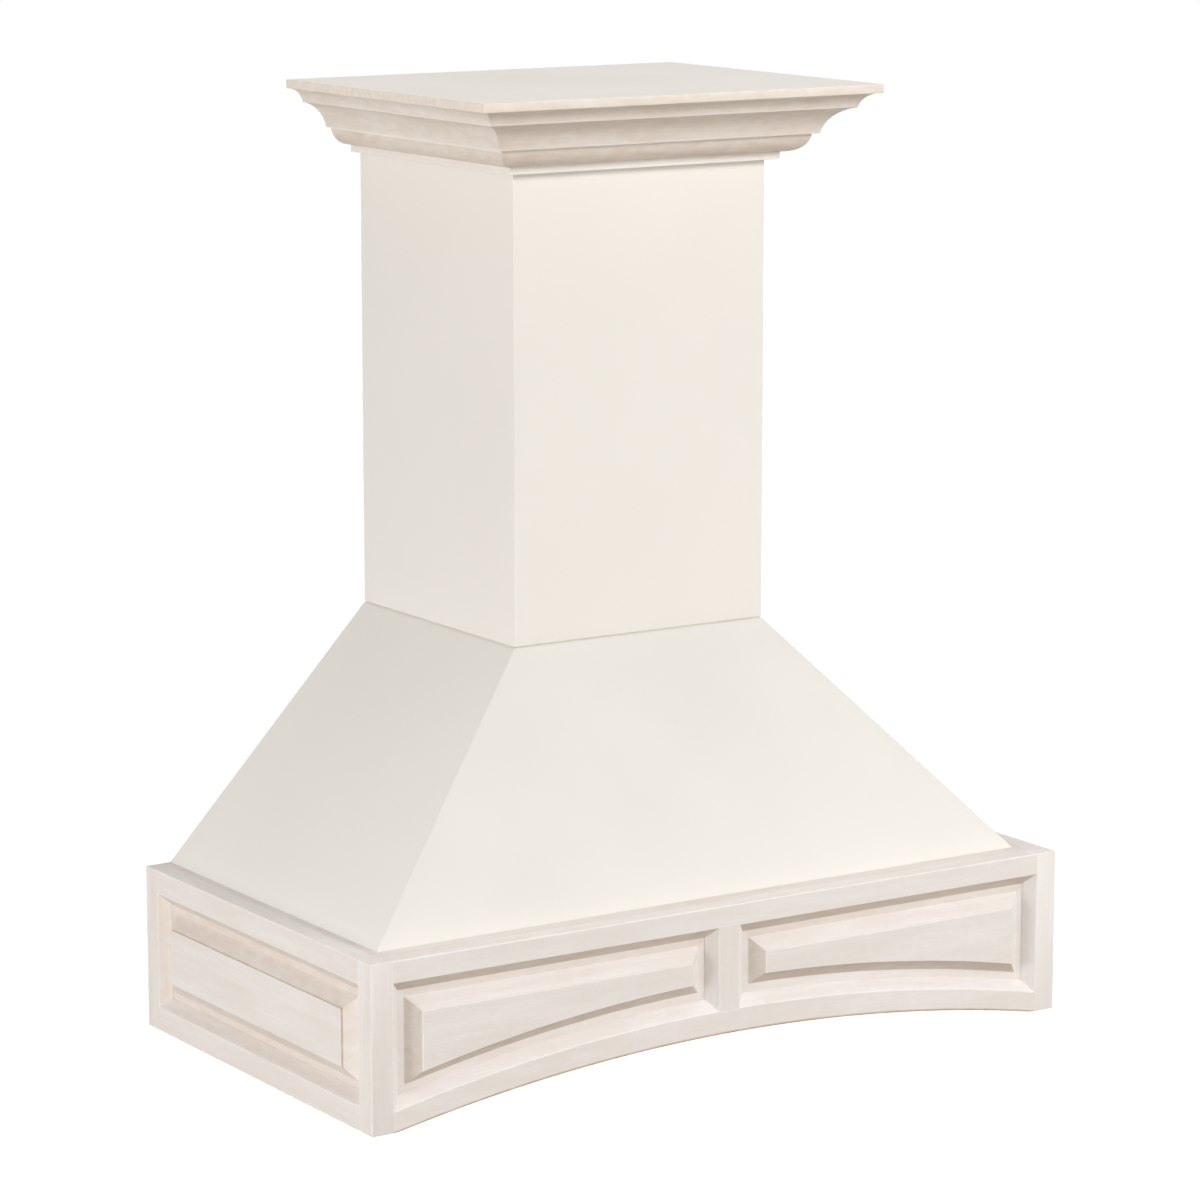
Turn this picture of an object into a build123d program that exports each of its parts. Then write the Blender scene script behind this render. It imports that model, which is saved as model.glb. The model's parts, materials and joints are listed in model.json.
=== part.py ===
"""Wall-hung wooden range hood cover: a mitred crown on a square chimney, a hipped canopy, and a
framed skirt whose arched apron holds raised panels. Every size is in millimetres.

X runs to the right as seen from the room, Y runs into the wall and Z runs up. The origin is on the
wall, at the middle of the skirt's bottom edge: the wall is the plane Y = 0 and the room is at -Y.
Pieces named left and right are on the left and right as seen from the room.
"""

import os
from math import hypot, sqrt

from build123d import *

# The cover as a whole
skirt_width = 914.4
skirt_depth = 510.0
skirt_height = 188.0
canopy_rise = 276.7
chimney_rise = 598.8
chimney_width = 332.0
chimney_depth = 330.0
ledge_front_reveal = 41.0
ledge_side_reveal = 31.0

# Frame-and-panel work of the skirt
frame_thickness = 22.0
stile_face = 27.0
mullion_face = 27.0
apron_top_rail_face = 24.0
side_rail_face = 27.0
sticking_width = 12.0
sticking_depth = 12.4
groove_depth = 9.0
groove_width = 6.5
tongue_thickness = 6.0
panel_play = 0.1
panel_room_to_swell = 2.0
panel_margin = 8.0
panel_bevel = 15.0
field_proud = 1.5
field_step = 1.5

# Arched work of the apron, measured upwards from the arch at the middle of the cover
arch_rise = 42.0
arch_foot = 31.0
arch_deepening = 0.11
arch_rail_face = 26.7
arch_sticking_width = 13.4
arch_margin = 8.8
arch_bevel = 13.2

# Ledge, canopy and chimney boards
ledge_thickness = 18.0
ledge_lip = 4.0
canopy_thickness = 12.0
chimney_thickness = 12.0
joint_chamfer = 1.5

# Battens, cleats and blocks inside
cleat_width = 20.0
cleat_height = 20.0
collar_cleat_height = 30.0
corner_block_side = 20.0
hip_batten_leg = 25.0

# Wall rails
wall_rail_thickness = 19.0
skirt_rail_height = 90.0
chimney_rail_height = 90.0
stud_spacing = 406.4
chimney_hole_spacing = 200.0
wall_hole_radius = 2.75

# Ledger rails that carry the ventilator insert
ledger_bottom = 45.0
ledger_thickness = 18.0
ledger_width = 32.0
insert_hole_radius = 1.75
insert_hole_spacing = 330.0

# Crown: the cap board, the sprung moulding under it and the frieze band behind that
cap_thickness = 10.0
cap_overhang = 95.3
cap_easing = 1.0
frieze_thickness = 12.5
frieze_height = 75.5
moulding_height = 67.2
moulding_reach = 92.5
moulding_seat = 15.7
moulding_top_land = 30.5
ovolo_start = 6.5
ovolo_foot_height = 0.7
ovolo_reach = 38.0
ovolo_height = 19.2
ovolo_bulge = 4.2
cove_start = 44.4
cove_base = 21.2
cove_reach = 73.9
cove_top = 50.8
cove_hollow = 6.4
upper_cove_start = 74.6
upper_cove_base = 51.2
upper_cove_hollow = 4.1
glue_block_length = 50.0
glue_block_spacing = 160.0

# Wood screws
screw_shank_radius = 2.0
screw_head_radius = 4.0
screw_head_height = 2.5
screw_clearance = 0.1
screw_bite = 14.0
front_screw_shares = (-0.5, 0.5)
side_screw_shares = (0.25, 0.75)

canopy_top = skirt_height + canopy_rise
cap_underside = canopy_top + chimney_rise
ledge_bottom = skirt_height - ledge_thickness
arch_half_span = skirt_width / 2 - arch_foot
apron_half_opening = skirt_width / 2 - stile_face
groove_back = sticking_depth + groove_width

# Plan outlines, each as (half width, depth from the wall)
skirt_inside = (skirt_width / 2 - frame_thickness, skirt_depth - frame_thickness)
canopy_foot = (skirt_width / 2 - ledge_side_reveal, skirt_depth - ledge_front_reveal)
chimney_outside = (chimney_width / 2, chimney_depth)


def shrink(plan, side, front=None):
    """A plan outline drawn in by side at its two sides and by front at its front."""
    return plan[0] - side, plan[1] - (side if front is None else front)


canopy_side_wall = canopy_thickness * hypot(1, (canopy_foot[0] - chimney_outside[0]) / canopy_rise)
canopy_front_wall = canopy_thickness * hypot(1, (canopy_foot[1] - chimney_outside[1]) / canopy_rise)
canopy_foot_inside = shrink(canopy_foot, canopy_side_wall, canopy_front_wall)
canopy_top_inside = shrink(chimney_outside, canopy_side_wall, canopy_front_wall)
chimney_inside = shrink(chimney_outside, chimney_thickness)
shaft = shrink(chimney_inside, cleat_width)
foot_cleat_inside = shrink(canopy_foot_inside, cleat_width)
ledge_inside = shrink(foot_cleat_inside, ledge_lip)


# ---------------------------------------------------------------- shapes that several pieces share


def board(x, y, z):
    """A square-edged board between the low and high limits given along each axis."""
    sides = [high - low for low, high in (x, y, z)]
    middle = [(high + low) / 2 for low, high in (x, y, z)]
    return Pos(*middle) * Box(*sides)


def upright(points, low, high):
    """A prism standing on a plan polygon."""
    foot = Pos(0, 0, low) * make_face(Polyline(*points, close=True))
    return extrude(foot, amount=high - low, dir=(0, 0, 1))


def tapered(points_low, low, points_high, high):
    """A flat-sided solid between a low and a high plan polygon."""
    foot = [(x, y, low) for x, y in points_low]
    head = [(x, y, high) for x, y in points_high]
    return ConvexPolyhedron(foot + head)


def front_trapezium(outside, inside):
    """The plan of a wall's front length, mitred at both ends."""
    (out_x, out_y), (in_x, in_y) = outside, inside
    return [(-out_x, -out_y), (out_x, -out_y), (in_x, -in_y), (-in_x, -in_y)]


def left_trapezium(outside, inside):
    """The plan of a wall's left length, mitred at the front and square at the wall."""
    (out_x, out_y), (in_x, in_y) = outside, inside
    return [(-out_x, 0), (-out_x, -out_y), (-in_x, -in_y), (-in_x, 0)]


def oblong(x, y):
    """A plan rectangle between the limits given along each axis."""
    return [(x[0], y[0]), (x[1], y[0]), (x[1], y[1]), (x[0], y[1])]


def three_sides(name, low, high, outside, inside, outside_high=None, inside_high=None):
    """Front, left and right lengths of a wall round three sides, mitred at the front corners."""
    top_out = outside_high or outside
    top_in = inside_high or inside
    front = tapered(front_trapezium(outside, inside), low, front_trapezium(top_out, top_in), high)
    left = tapered(left_trapezium(outside, inside), low, left_trapezium(top_out, top_in), high)
    return {f"{name}_front": front, f"{name}_left": left, f"{name}_right": opposite(left)}


def cleats(name, low, high, outside, inside, outside_high=None):
    """Front, left and right cleats inside a wall, the side ones butted against the front one. Where a
    wall leans in past a cleat's inner face, the cleat ends in a feather edge."""
    low_x, low_y = outside
    high_x, high_y = outside_high or outside
    in_x, in_y = inside
    foot = oblong((-low_x, low_x), (-low_y, 0))
    head = oblong((-high_x, high_x), (-high_y, 0))
    room = tapered(foot, low, head, high)
    left = room & board((-low_x, -in_x), (-in_y, 0), (low, high))
    return {
        f"{name}_front": room & board((-low_x, low_x), (-low_y, -in_y), (low, high)),
        f"{name}_left": left,
        f"{name}_right": opposite(left),
    }


def opposite(piece):
    """The piece's mirror image on the other side of the cover."""
    return mirror(piece, about=Plane.YZ)


def canopy_inside_at(height):
    """The canopy's inner plan outline at a height."""
    share = (height - skirt_height) / canopy_rise
    low, high = canopy_foot_inside, canopy_top_inside
    return tuple(a + (b - a) * share for a, b in zip(low, high))


# ---------------------------------------------------------------- wood screws


def screw_body(length, clearance=0.0):
    """A countersunk screw that points up, with its head's face at the origin."""
    shank = Cylinder(
        screw_shank_radius + clearance,
        length + clearance,
        align=(Align.CENTER, Align.CENTER, Align.MIN),
    )
    head = Cone(
        screw_head_radius + clearance,
        screw_shank_radius + clearance,
        screw_head_height,
        align=(Align.CENTER, Align.CENTER, Align.MIN),
    )
    return shank + head


def screws_at(places, height, length, clearance=0.0):
    """The same screw at several plan positions."""
    return [Pos(x, y, height) * screw_body(length, clearance) for x, y in places]


def drill(piece, holes):
    """The piece with every hole cut from it."""
    for hole in holes:
        piece = piece - hole
    return piece


# ---------------------------------------------------------------- frame-and-panel work
# A frame is made with its face at Y = 0 looking towards -Y, and then moved to its place.


def member_section(face, back_start=0.0):
    """Section of a frame member, as (distance in from its outer edge, depth behind its face).
    The inner edge has the sloping sticking, the panel groove and the back lip."""
    inner = face + sticking_width
    groove_floor = inner - groove_depth
    return [
        (0, 0),
        (face, 0),
        (inner, sticking_depth),
        (groove_floor, sticking_depth),
        (groove_floor, groove_back),
        (inner, groove_back),
        (inner, frame_thickness),
        (back_start, frame_thickness),
    ]


def stile(mitred):
    """A stile with its outer edge at X = 0; a mitred one meets its neighbour round the corner."""
    return upright(member_section(stile_face, frame_thickness if mitred else 0), 0, skirt_height)


def straight_rail(face, low_x, high_x, at_top):
    """A rail along the frame's top or bottom edge, before its ends are coped."""
    edge = skirt_height if at_top else 0
    inward = -1 if at_top else 1
    section = Plane(origin=(low_x, 0, edge), x_dir=(0, 0, inward), z_dir=(-inward, 0, 0))
    outline = section * make_face(Polyline(*member_section(face), close=True))
    return extrude(outline, amount=high_x - low_x, dir=(1, 0, 0))


def arch_height(offset, x):
    """Height at x of the arched line that crosses the middle of the cover offset above the arch.
    Each line higher up is bent a little more, as set by arch_deepening."""
    sagitta = arch_rise + arch_deepening * offset
    radius = (arch_half_span**2 + sagitta**2) / (2 * sagitta)
    return arch_rise + offset - radius + sqrt(radius**2 - x**2)


def arch_line(offset, start, end):
    """The arched line between two x positions."""
    places = (start, (start + end) / 2, end)
    return ThreePointArc(*[(x, arch_height(offset, x)) for x in places])


def arched_rail_outline(top_offset):
    """The bottom rail's front view, from the arch and its level feet up to an arched line."""
    end = apron_half_opening
    shoulder = arch_height(top_offset, end)
    left_side = Polyline((-end, shoulder), (-end, 0), (-arch_half_span, 0))
    right_side = Polyline((arch_half_span, 0), (end, 0), (end, shoulder))
    under = arch_line(0, -arch_half_span, arch_half_span)
    over = arch_line(top_offset, end, -end)
    return make_face(left_side + under + right_side + over)


def arched_rail():
    """The apron's bottom rail in three depths: sloping sticking, panel groove and back lip."""
    crest = arch_rail_face + arch_sticking_width
    groove_front = Plane.XZ.offset(-sticking_depth)
    lip_front = Plane.XZ.offset(-groove_back)
    face = Plane.XZ * arched_rail_outline(arch_rail_face)
    sloping = loft([face, groove_front * arched_rail_outline(crest)], ruled=True)
    floor = groove_front * arched_rail_outline(crest - groove_depth)
    groove = extrude(floor, amount=groove_width, dir=(0, 1, 0))
    lip_outline = lip_front * arched_rail_outline(crest)
    lip = extrude(lip_outline, amount=frame_thickness - groove_back, dir=(0, 1, 0))
    return sloping + groove + lip


def mullion(bottom_rail, top_rail):
    """The upright between the apron's two panels, coped over both rails."""
    half = member_section(mullion_face / 2)
    outline = half + [(-x, y) for x, y in reversed(half)][1:-1]
    low = arch_rise + arch_rail_face / 2
    high = skirt_height - apron_top_rail_face / 2
    return upright(outline, low, high) - bottom_rail - top_rail


def straight_opening(low_x, high_x, face_low, face_high):
    """A four-sided opening: returns the function that draws its face line in all round."""

    def outline(inset, _):
        corners = [
            (low_x + inset, face_low + inset),
            (high_x - inset, face_low + inset),
            (high_x - inset, face_high - inset),
            (low_x + inset, face_high - inset),
        ]
        return make_face(Polyline(*corners, close=True))

    return outline


def arched_opening(low_x, high_x, face_high):
    """An opening over the arched rail: returns the function that draws its face line in, by one
    distance at the sides and top and by another, measured from the arch, at the bottom."""

    def outline(inset, arch_offset):
        low, high, top = low_x + inset, high_x - inset, face_high - inset
        start = (low, arch_height(arch_offset, low))
        end = (high, arch_height(arch_offset, high))
        sides = Polyline(end, (high, top), (low, top), start)
        return make_face(sides + arch_line(arch_offset, low, high))

    return outline


def raised_panel(outline):
    """A panel held by its tongue, with a flat margin, a bevel, and a field raised on a small step."""
    crest = arch_rail_face + arch_sticking_width
    tongue_reach = groove_depth - panel_room_to_swell
    tongue_line = (sticking_width - tongue_reach, crest - tongue_reach)
    margin_line = (sticking_width + panel_margin, crest + arch_margin)
    field_line = (margin_line[0] + panel_bevel, margin_line[1] + arch_bevel)
    front = Plane.XZ.offset(-sticking_depth - panel_play)
    bevel_top = Plane.XZ.offset(field_proud - field_step) * outline(*field_line)
    plate = extrude(front * outline(*tongue_line), amount=tongue_thickness, dir=(0, 1, 0))
    bevel = loft([front * outline(*margin_line), bevel_top], ruled=True)
    field = extrude(bevel_top, amount=field_step, dir=(0, -1, 0))
    return plate + bevel + field


def apron():
    """The skirt's arched front: two stiles, two rails, a mullion and two raised panels."""
    half = skirt_width / 2
    left_stile = Pos(-half, 0, 0) * stile(mitred=True)
    right_stile = opposite(left_stile)
    top = straight_rail(apron_top_rail_face, -apron_half_opening, apron_half_opening, at_top=True)
    bottom = arched_rail()
    top_rail = top - left_stile - right_stile
    bottom_rail = bottom - left_stile - right_stile
    opening = arched_opening(
        -apron_half_opening, -mullion_face / 2, skirt_height - apron_top_rail_face
    )
    left_panel = raised_panel(opening)
    pieces = {
        "apron_left_stile": left_stile,
        "apron_right_stile": right_stile,
        "apron_top_rail": top_rail,
        "apron_bottom_rail": bottom_rail,
        "apron_mullion": mullion(bottom_rail, top_rail),
        "apron_left_panel": left_panel,
        "apron_right_panel": opposite(left_panel),
    }
    return {name: Pos(0, -skirt_depth, 0) * piece for name, piece in pieces.items()}


def side_frames():
    """The skirt's two straight sides, each one panel in a frame, mitred to the apron."""
    rear_stile = stile(mitred=False)
    front_stile = Pos(skirt_depth, 0, 0) * mirror(stile(mitred=True), about=Plane.YZ)
    ends = stile_face, skirt_depth - stile_face
    top = straight_rail(side_rail_face, *ends, at_top=True)
    bottom = straight_rail(side_rail_face, *ends, at_top=False)
    opening = straight_opening(*ends, side_rail_face, skirt_height - side_rail_face)
    pieces = {
        "rear_stile": rear_stile,
        "front_stile": front_stile,
        "top_rail": top - rear_stile - front_stile,
        "bottom_rail": bottom - rear_stile - front_stile,
        "panel": raised_panel(opening),
    }
    placed = {}
    for name, piece in pieces.items():
        left = Pos(-skirt_width / 2, 0, 0) * Rot(0, 0, -90) * piece
        placed[f"left_side_{name}"] = left
        placed[f"right_side_{name}"] = opposite(left)
    return placed


# ---------------------------------------------------------------- inside the skirt


def skirt_fittings():
    """The wall rail, the corner blocks and the ledger rails that carry the ventilator insert."""
    inside_x, inside_y = skirt_inside
    ledger_top = ledger_bottom + ledger_thickness
    ledger = ledger_bottom, ledger_top
    opening_x = inside_x - ledger_width
    wall_hole = wall_holes(stud_spacing, ledger_bottom / 2)
    rail = board((-inside_x, inside_x), (-wall_rail_thickness, 0), (0, skirt_rail_height))
    front = board((-inside_x, inside_x), (-inside_y, -inside_y + ledger_width), ledger)
    side_length = (-inside_y + ledger_width, -wall_rail_thickness)
    left = board((-inside_x, -opening_x), side_length, ledger)
    middle_y = sum(side_length) / 2
    hole_x = -inside_x + ledger_width / 2
    for side in (-1, 1):
        hole = Cylinder(insert_hole_radius, 2 * ledger_thickness)
        left = left - Pos(hole_x, middle_y + side * insert_hole_spacing / 2, ledger_bottom) * hole
    rear_y = (-wall_rail_thickness - ledger_width, -wall_rail_thickness)
    block = board(
        (-inside_x, -inside_x + corner_block_side),
        (-inside_y, -inside_y + corner_block_side),
        (ledger_top, ledge_bottom),
    )
    return {
        "skirt_wall_rail": drill(rail, wall_hole),
        "insert_ledger_front": front,
        "insert_ledger_left": left,
        "insert_ledger_right": opposite(left),
        "insert_ledger_rear": board((-opening_x, opening_x), rear_y, ledger),
        "corner_block_left": block,
        "corner_block_right": opposite(block),
    }


def wall_holes(spacing, height):
    """Two screw holes through a wall rail, side by side."""
    hole = Rot(90, 0, 0) * Cylinder(wall_hole_radius, 3 * wall_rail_thickness)
    return [Pos(side * spacing / 2, 0, height) * hole for side in (-1, 1)]


# ---------------------------------------------------------------- ledge and canopy


def ledge():
    """The flat boards let in round the skirt's top, which the canopy stands on."""
    return three_sides("ledge", ledge_bottom, skirt_height, skirt_inside, ledge_inside)


def canopy_panels():
    """Three sloping panels, mitred down the hips, with the upper edge chamfered for the joint."""
    panels = three_sides(
        "canopy",
        skirt_height,
        canopy_top,
        canopy_foot,
        canopy_foot_inside,
        chimney_outside,
        canopy_top_inside,
    )
    return {name: ease_joint(piece, canopy_top) for name, piece in panels.items()}


def ease_joint(piece, height):
    """The piece with its outer edge at the canopy and chimney joint chamfered, for the V groove."""

    def outer(edge):
        middle = edge.center()
        at_front = abs(middle.Y + chimney_depth) < joint_chamfer / 10
        at_side = abs(abs(middle.X) - chimney_width / 2) < joint_chamfer / 10
        return abs(middle.Z - height) < joint_chamfer / 10 and (at_front or at_side)

    return chamfer(piece.edges().filter_by(outer), joint_chamfer)


def canopy_battens():
    """The cleats at the canopy's foot and head, and the battens down the inside of its hips."""
    foot_top = skirt_height + cleat_height
    head_bottom = canopy_top - collar_cleat_height
    foot = cleats(
        "canopy_foot_cleat",
        skirt_height,
        foot_top,
        canopy_foot_inside,
        foot_cleat_inside,
        canopy_inside_at(foot_top),
    )
    head = cleats(
        "canopy_head_cleat",
        head_bottom,
        canopy_top,
        canopy_inside_at(head_bottom),
        shaft,
        canopy_top_inside,
    )
    batten = tapered(hip_triangle(foot_top), foot_top, hip_triangle(head_bottom), head_bottom)
    hips = {"hip_batten_left": batten, "hip_batten_right": opposite(batten)}
    return {**foot, **head, **hips}


def hip_triangle(height):
    """Plan of the left hip batten at a height, fitted into the corner of the two panels."""
    x, y = canopy_inside_at(height)
    return [(-x, -y), (-x + hip_batten_leg, -y), (-x, -y + hip_batten_leg)]


# ---------------------------------------------------------------- chimney


def chimney_panels():
    """Three upright panels mitred at the front corners, chamfered where they meet the canopy."""
    panels = three_sides("chimney", canopy_top, cap_underside, chimney_outside, chimney_inside)
    return {name: ease_joint(piece, canopy_top) for name, piece in panels.items()}


def chimney_fittings():
    """The foot cleats, corner battens, cap cleats and the two rails at the chimney's open back."""
    foot_top = canopy_top + collar_cleat_height
    cap_cleat_bottom = cap_underside - cleat_height
    inside_x, inside_y = chimney_inside
    foot = cleats("chimney_foot_cleat", canopy_top, foot_top, chimney_inside, shaft)
    cap_cleats = cleats("cap_cleat", cap_cleat_bottom, cap_underside, chimney_inside, shaft)
    batten = board((-inside_x, -shaft[0]), (-inside_y, -shaft[1]), (foot_top, cap_cleat_bottom))
    rail_low = cap_cleat_bottom - chimney_rail_height
    thickness = (-wall_rail_thickness, 0)
    upper_rail = board((-inside_x, inside_x), thickness, (rail_low, cap_cleat_bottom))
    collar_low = canopy_top - collar_cleat_height
    collar_rail = board((-shaft[0], shaft[0]), thickness, (collar_low, foot_top))
    holes = wall_holes(chimney_hole_spacing, rail_low + chimney_rail_height / 2)
    return {
        **foot,
        "cap_cleats": list(cap_cleats.values()),
        "chimney_corner_batten_left": batten,
        "chimney_corner_batten_right": opposite(batten),
        "chimney_wall_rail": drill(upper_rail, holes),
        "collar_wall_rail": collar_rail,
    }


# ---------------------------------------------------------------- crown


def bowed(start, end, bulge):
    """An arc between two points whose middle stands off the chord by bulge, to the right of it."""
    (x0, y0), (x1, y1) = start, end
    chord = hypot(x1 - x0, y1 - y0)
    middle_x = (x0 + x1) / 2 + bulge * (y1 - y0) / chord
    middle_y = (y0 + y1) / 2 - bulge * (x1 - x0) / chord
    return ThreePointArc(start, (middle_x, middle_y), end)


def moulding_section():
    """Section of the crown moulding, as (projection from the chimney, height above its foot):
    an ovolo, a step, a cove, a fillet and a smaller cove, with a sloping back."""
    foot = (frieze_thickness, 0)
    ovolo_foot = (frieze_thickness + ovolo_start, ovolo_foot_height)
    ovolo_head = (ovolo_reach, ovolo_height)
    step = (ovolo_reach, cove_base)
    cove_foot = (cove_start, cove_base)
    cove_head = (cove_reach, cove_top)
    fillet_end = (upper_cove_start, upper_cove_base)
    tip = (moulding_reach, moulding_height)
    back_top = (moulding_reach - moulding_top_land, moulding_height)
    back_foot = (frieze_thickness, moulding_seat)
    lines = [
        Line(foot, ovolo_foot),
        bowed(ovolo_foot, ovolo_head, ovolo_bulge),
        Polyline(ovolo_head, step, cove_foot),
        bowed(cove_foot, cove_head, -cove_hollow),
        Line(cove_head, fillet_end),
        bowed(fillet_end, tip, -upper_cove_hollow),
        Polyline(tip, back_top, back_foot, foot),
    ]
    return make_face(Curve() + lines)


def front_run(section, half_length):
    """A section, as (projection, height), carried along the chimney's front."""
    plane = Plane(origin=(0, -chimney_depth, 0), x_dir=(0, -1, 0), z_dir=(-1, 0, 0))
    return extrude(plane * section, amount=half_length, both=True)


def left_run(section, length):
    """A section, as (projection, height), carried along the chimney's left side from the wall."""
    plane = Plane(origin=(-chimney_width / 2, 0, 0), x_dir=(-1, 0, 0), z_dir=(0, 1, 0))
    return extrude(plane * section, amount=length, dir=(0, -1, 0))


def crown_moulding():
    """The moulding's three lengths, mitred at the chimney's front corners."""
    low = cap_underside - moulding_height
    section = Pos(0, low) * moulding_section()
    reach = shrink(chimney_outside, -moulding_reach)
    front_space = upright(front_trapezium(reach, chimney_outside), low, cap_underside)
    left_space = upright(left_trapezium(reach, chimney_outside), low, cap_underside)
    left = left_run(section, reach[1]) & left_space
    return {
        "crown_front": front_run(section, reach[0]) & front_space,
        "crown_left": left,
        "crown_right": opposite(left),
    }


def glue_blocks():
    """Triangular blocks behind the moulding, in the corner of the frieze and the cap."""
    low = cap_underside - moulding_height
    corners = [
        (frieze_thickness, low + moulding_seat),
        (frieze_thickness, cap_underside),
        (moulding_reach - moulding_top_land, cap_underside),
    ]
    section = make_face(Polyline(*corners, close=True))
    front = front_run(section, glue_block_length / 2)
    side = left_run(section, glue_block_length)
    blocks = [Pos(x, 0, 0) * front for x in (-glue_block_spacing / 2, glue_block_spacing / 2)]
    for step in (0, 1):
        left = Pos(0, -glue_block_length - step * glue_block_spacing, 0) * side
        blocks += [left, opposite(left)]
    return blocks


def crown():
    """The cap board, the moulding, the frieze boards behind it and the glue blocks."""
    half, depth = shrink(chimney_outside, -cap_overhang)
    cap = board((-half, half), (-depth, 0), (cap_underside, cap_underside + cap_thickness))
    eased = cap.edges().filter_by(lambda edge: edge.center().Y < -cap_easing)
    frieze_outside = shrink(chimney_outside, -frieze_thickness)
    frieze_bottom = cap_underside - frieze_height
    return {
        "cap_board": chamfer(eased, cap_easing),
        "crown_glue_blocks": glue_blocks(),
        **crown_moulding(),
        **three_sides("frieze", frieze_bottom, cap_underside, frieze_outside, chimney_outside),
    }


# ---------------------------------------------------------------- screwed joints


def places_along(line):
    """Screw places on a (half width, depth) line: at shares of its front and of its two sides."""
    x, y = line
    front = [(share * x, -y) for share in front_screw_shares]
    sides = [(side * x, share * -y) for side in (-1, 1) for share in side_screw_shares]
    return front + sides


def middle_line(outside, inside):
    """The plan line halfway between two plan outlines."""
    return tuple((a + b) / 2 for a, b in zip(outside, inside))


def screw_lines(pieces):
    """Drills the ledge and the canopy's cleats for their screws, and adds the screws."""
    foot = middle_line(canopy_inside_at(skirt_height + screw_bite), foot_cleat_inside)
    collar = middle_line(canopy_top_inside, shaft)
    head_bottom = canopy_top - collar_cleat_height
    groups = {
        "ledge_screws": (
            places_along(foot),
            ledge_bottom,
            ledge_thickness,
            ("ledge", "canopy_foot_cleat"),
        ),
        "collar_screws": (
            places_along(collar),
            head_bottom,
            collar_cleat_height,
            ("canopy_head_cleat", "chimney_foot_cleat"),
        ),
    }
    for name, (places, height, through, joined) in groups.items():
        length = through + screw_bite
        holes = screws_at(places, height, length, screw_clearance)
        for stem in joined:
            for side in ("front", "left", "right"):
                pieces[f"{stem}_{side}"] = drill(pieces[f"{stem}_{side}"], holes)
        pieces[name] = screws_at(places, height, length)
    return pieces


# ---------------------------------------------------------------- the whole cover


def whole_cover():
    """Every piece of the cover, by name."""
    pieces = {
        **apron(),
        **side_frames(),
        **skirt_fittings(),
        **ledge(),
        **canopy_panels(),
        **canopy_battens(),
        **chimney_panels(),
        **chimney_fittings(),
        **crown(),
    }
    return screw_lines(pieces)


os.makedirs("parts", exist_ok=True)
for node, piece in whole_cover().items():
    if isinstance(piece, list):
        piece = Compound(children=[part.solid() for part in piece])
    export_step(piece, f"parts/{node}.step")
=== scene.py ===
import json
import math

import bmesh
import bpy
import numpy as np
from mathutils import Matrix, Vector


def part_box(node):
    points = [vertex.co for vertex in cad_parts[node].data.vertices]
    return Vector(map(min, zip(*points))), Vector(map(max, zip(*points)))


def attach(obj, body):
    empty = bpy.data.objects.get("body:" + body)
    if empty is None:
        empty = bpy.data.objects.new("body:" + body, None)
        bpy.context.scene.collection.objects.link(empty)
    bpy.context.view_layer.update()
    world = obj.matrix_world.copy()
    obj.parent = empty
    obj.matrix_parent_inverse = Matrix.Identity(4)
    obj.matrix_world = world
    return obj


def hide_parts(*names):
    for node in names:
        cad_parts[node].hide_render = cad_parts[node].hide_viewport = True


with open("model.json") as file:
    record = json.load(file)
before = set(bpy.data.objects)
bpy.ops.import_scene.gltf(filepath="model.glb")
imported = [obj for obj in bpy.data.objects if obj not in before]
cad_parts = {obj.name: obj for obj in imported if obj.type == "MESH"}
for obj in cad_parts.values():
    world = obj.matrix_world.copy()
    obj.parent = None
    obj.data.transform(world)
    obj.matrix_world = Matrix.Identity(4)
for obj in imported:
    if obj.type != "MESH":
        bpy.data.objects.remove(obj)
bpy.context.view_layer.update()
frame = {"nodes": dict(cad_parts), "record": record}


# ---------------------------------------------------------------------------- apron stiles
# The two uprights at the skirt's front corners: hardwood, moulded and grooved along the inner edge by
# one cutter and mitred to the side frame behind. Whitewashed, with a brown glaze left in the hollows
# that also paints their shade.

mm = 0.001
left_stile_low, left_stile_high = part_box("apron_left_stile")
skirt_half = -left_stile_low.x
skirt_depth = -left_stile_low.y
skirt_top = left_stile_high.z
frame_thickness = left_stile_high.y - left_stile_low.y
sticking_width = 12 * mm
sticking_depth = 12.4 * mm
stile_face = left_stile_high.x - left_stile_low.x - sticking_width
groove_depth = 9 * mm
groove_back = 18.9 * mm
arris = 0.9 * mm
small_arris = 0.3 * mm
end_arris = 0.9 * mm
member_spacing = 1.4 * mm
hair = 0.02 * mm
same_place = 0.0001 * mm
straight_on = 0.999999
hollow_reach = 3.2 * mm
rub_reach = 1.5 * mm
slope_reach = 1.5 * mm
# Glaze at each sticking's foot, which also paints the shade in that corner.
foot_glaze_and_shade = 0.25
crisp_edge = math.radians(32)


def eased(corners, radii, steps=4):
    """A closed outline with its corners rounded. Each corner gives way to the arc of its radius that is
    tangent to both sides: the arc's centre lies on the corner's bisector, at the radius over the sine
    of half the corner, and its points turn evenly from one tangent point to the other."""
    corners, radii = np.array(corners, float), np.array(radii, float)[:, None]
    before, after = np.roll(corners, 1, 0) - corners, np.roll(corners, -1, 0) - corners
    before /= np.linalg.norm(before, axis=1, keepdims=True)
    after /= np.linalg.norm(after, axis=1, keepdims=True)
    half = np.arccos(np.clip((before * after).sum(1, keepdims=True), -straight_on, straight_on)) / 2
    centre = corners + (before + after) * radii / (2 * np.cos(half) * np.sin(half))
    start, end = corners + before * radii / np.tan(half), corners + after * radii / np.tan(half)
    turn = (math.pi - 2 * half)[:, :, None]
    share = np.linspace(0, 1, steps + 1)[None, :, None]
    leaving, arriving = np.sin((1 - share) * turn), np.sin(share * turn)
    swing = leaving * (start - centre)[:, None] + arriving * (end - centre)[:, None]
    points = (centre[:, None] + swing / np.sin(turn)).reshape(-1, 2)
    return points[np.linalg.norm(points - np.roll(points, 1, 0), axis=1) > same_place]


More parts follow.
